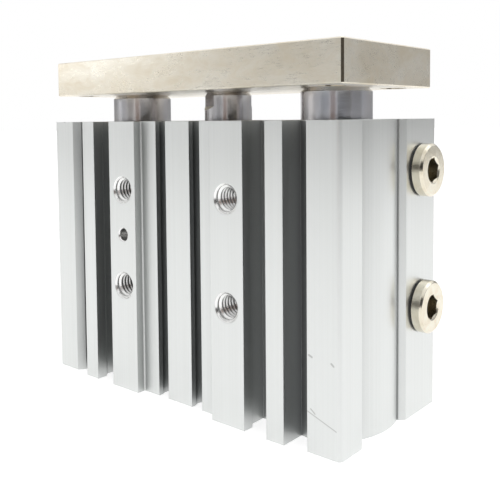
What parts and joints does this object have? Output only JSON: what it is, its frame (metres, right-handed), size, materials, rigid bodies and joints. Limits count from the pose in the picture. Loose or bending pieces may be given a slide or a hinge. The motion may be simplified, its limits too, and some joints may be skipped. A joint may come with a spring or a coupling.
{
  "type": "guided pneumatic cylinder",
  "caption": "Compact guided pneumatic cylinder: an extruded body with T-slots, a piston rod between two guide rods, and an end plate that they carry.",
  "frame": {"origin": "on the piston axis in the bottom face of the body, at the centre of the base thread pattern", "axes": "+Z along the stroke towards the end plate, +X along the length towards the plugged end, -Y towards the side with the T-slots"},
  "size_m": [0.0941, 0.042, 0.0835],
  "materials": {
    "body_aluminium": "satin clear anodised extrusion",
    "cover_aluminium": "turned and clear anodised",
    "plate_nickel": "ground steel with warm electroless nickel plating",
    "rod_chrome": "hard chrome, ground and polished",
    "plug_nickel": "nickel plated brass",
    "screw_black": "black oxide steel",
    "spring_steel": "phosphated spring steel",
    "rubber": "black nitrile rubber",
    "bronze": "oil-filled sintered bronze",
    "wear_plastic": "acetal",
    "magnet": "bonded ferrite"
  },
  "bodies": {
    "housing": {"cylinder_body": "body_aluminium", "rod_cover": "cover_aluminium", "head_cover": "cover_aluminium", "rod_cover_gasket": "rubber", "head_cover_gasket": "rubber", "rod_cover_retaining_ring": "spring_steel", "head_cover_retaining_ring": "spring_steel", "rod_seal": "rubber", "rod_bush": "bronze", "rod_side_bumper": "rubber", "head_side_bumper": "rubber", "guide_bush_upper_left": "bronze", "guide_bush_upper_right": "bronze", "guide_bush_lower_left": "bronze", "guide_bush_lower_right": "bronze", "guide_scraper_left": "rubber", "guide_scraper_right": "rubber", "port_plug_upper": "plug_nickel", "port_plug_lower": "plug_nickel", "plug_gasket_upper": "rubber", "plug_gasket_lower": "rubber"},
    "carriage": {"end_plate": "plate_nickel", "piston_rod": "rod_chrome", "piston": "cover_aluminium", "piston_nut": "spring_steel", "piston_wear_ring": "wear_plastic", "piston_seal": "rubber", "piston_magnet": "magnet", "guide_rod_left": "rod_chrome", "guide_rod_right": "rod_chrome", "guide_rod_screw_left": "screw_black", "guide_rod_screw_right": "screw_black", "piston_rod_screw": "screw_black"}
  },
  "joints": [
    {"name": "rod_slide", "type": "slide", "parent": "housing", "child": "carriage", "axis": [0, 0, 1], "range_m": [0, 0.03]}
  ]
}
